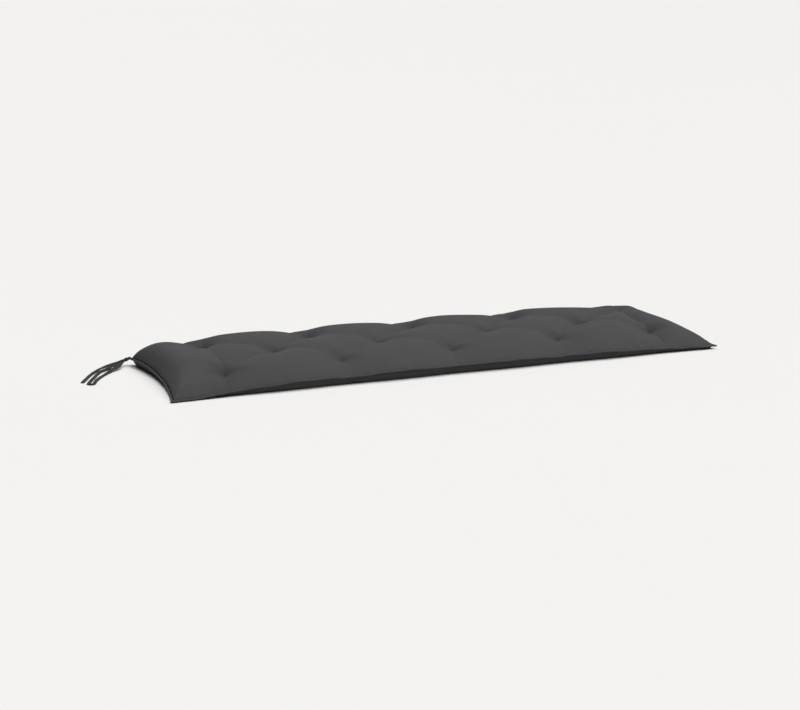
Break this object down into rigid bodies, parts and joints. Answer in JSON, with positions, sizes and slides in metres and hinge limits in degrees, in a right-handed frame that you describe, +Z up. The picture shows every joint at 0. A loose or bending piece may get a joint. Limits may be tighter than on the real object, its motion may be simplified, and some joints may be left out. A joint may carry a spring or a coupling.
{
  "type": "bench cushion",
  "caption": "Long thin bench seat cushion in plain charcoal cloth, tufted in a diamond pattern, with a piped seam all round and a knotted cloth tie at one back corner.",
  "frame": {"origin": "on the surface that the cushion lies on, under the middle of the pad and its piping", "axes": "+X along the pad towards its right end, +Y across it towards the back edge, +Z up through the tufted face"},
  "size_m": [1.9873, 0.5024, 0.0897],
  "materials": {
    "cover_cloth": "matt plain weave, charcoal",
    "piping_cloth": "matt plain weave over a cord, charcoal",
    "tie_cloth": "matt plain weave, folded and sewn, dark charcoal"
  },
  "bodies": {
    "root": {"cushion": "cover_cloth", "welt": "piping_cloth", "tie_knot": "tie_cloth", "tie_tail": "tie_cloth", "tie_loop": "tie_cloth"}
  },
  "joints": []
}
